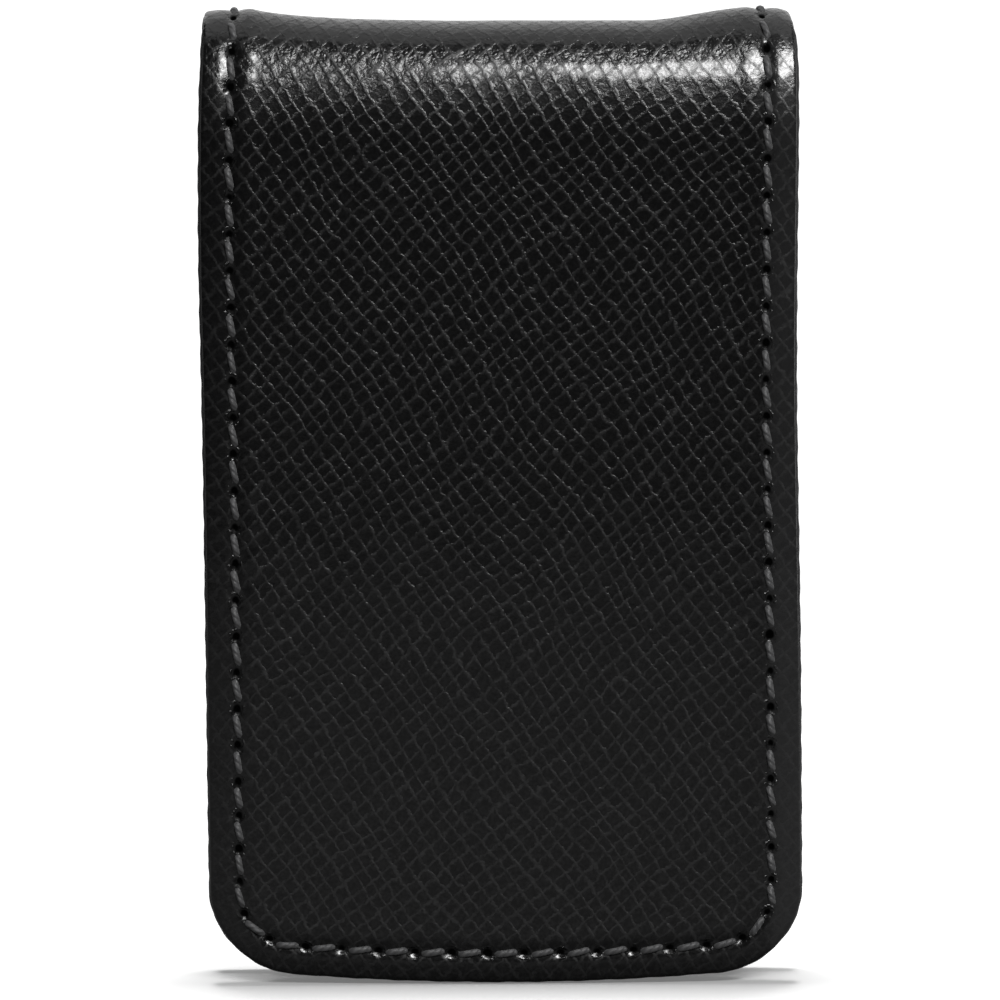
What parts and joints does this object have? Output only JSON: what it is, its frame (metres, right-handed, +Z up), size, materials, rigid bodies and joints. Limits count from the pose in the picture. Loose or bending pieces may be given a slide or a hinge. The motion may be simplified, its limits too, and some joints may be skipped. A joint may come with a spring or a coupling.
{
  "type": "money clip",
  "caption": "Folded leather money clip that opens flat; magnets in both legs pinch folded banknotes between them.",
  "frame": {"origin": "centre of the bounding box at the bottom, on the surface that the closed clip stands on with its open end down", "axes": "+Z up from the open end to the fold, X across the width, -Y out of the front leg's face, +Y out of the back leg's face"},
  "size_m": [0.043, 0.0098, 0.07],
  "materials": {
    "outer_leather": "cross-hatch embossed black leather with a satin surface coat",
    "lining_leather": "smooth fine-grained black lining leather",
    "board": "dense fibre board, calendered",
    "magnet": "nickel-plated disc magnet",
    "thread": "waxed polyester thread, dark grey",
    "edge_paint": "satin black edge paint"
  },
  "bodies": {
    "front_leg": {"outer_leather_front": "outer_leather", "lining_front": "lining_leather", "needle_thread_front": "thread", "bobbin_thread_front": "thread", "edge_paint_front": "edge_paint", "stiffener_board_front": "board", "magnet_front_left": "magnet", "magnet_front_right": "magnet"},
    "back_leg": {"outer_leather_back": "outer_leather", "lining_back": "lining_leather", "needle_thread_back": "thread", "bobbin_thread_back": "thread", "edge_paint_back": "edge_paint", "stiffener_board_back": "board", "magnet_back_left": "magnet", "magnet_back_right": "magnet"},
    "fold_fore": {"outer_leather_fold_fore": "outer_leather", "lining_fold_fore": "lining_leather", "needle_thread_fold_fore": "thread", "bobbin_thread_fold_fore": "thread", "edge_paint_fold_fore": "edge_paint"},
    "fold_crown": {"outer_leather_fold_crown": "outer_leather", "lining_fold_crown": "lining_leather", "needle_thread_fold_crown": "thread", "bobbin_thread_fold_crown": "thread", "edge_paint_fold_crown": "edge_paint"},
    "fold_rear": {"outer_leather_fold_rear": "outer_leather", "lining_fold_rear": "lining_leather", "needle_thread_fold_rear": "thread", "bobbin_thread_fold_rear": "thread", "edge_paint_fold_rear": "edge_paint"}
  },
  "joints": [
    {"name": "fore_bend_open", "type": "hinge", "parent": "fold_crown", "child": "fold_fore", "pos_m": [0, -0.00153, 0.0697], "axis": [-1, 0, 0], "range_deg": [0, 45.65]},
    {"name": "front_leg_open", "type": "hinge", "parent": "fold_fore", "child": "front_leg", "pos_m": [0, -0.0037, 0.06753], "axis": [-1, 0, 0], "range_deg": [0, 45.65]},
    {"name": "rear_bend_open", "type": "hinge", "parent": "fold_crown", "child": "fold_rear", "pos_m": [0, 0.00153, 0.0697], "axis": [1, 0, 0], "range_deg": [0, 45.65]},
    {"name": "back_leg_open", "type": "hinge", "parent": "fold_rear", "child": "back_leg", "pos_m": [0, 0.0037, 0.06753], "axis": [1, 0, 0], "range_deg": [0, 45.65]}
  ]
}
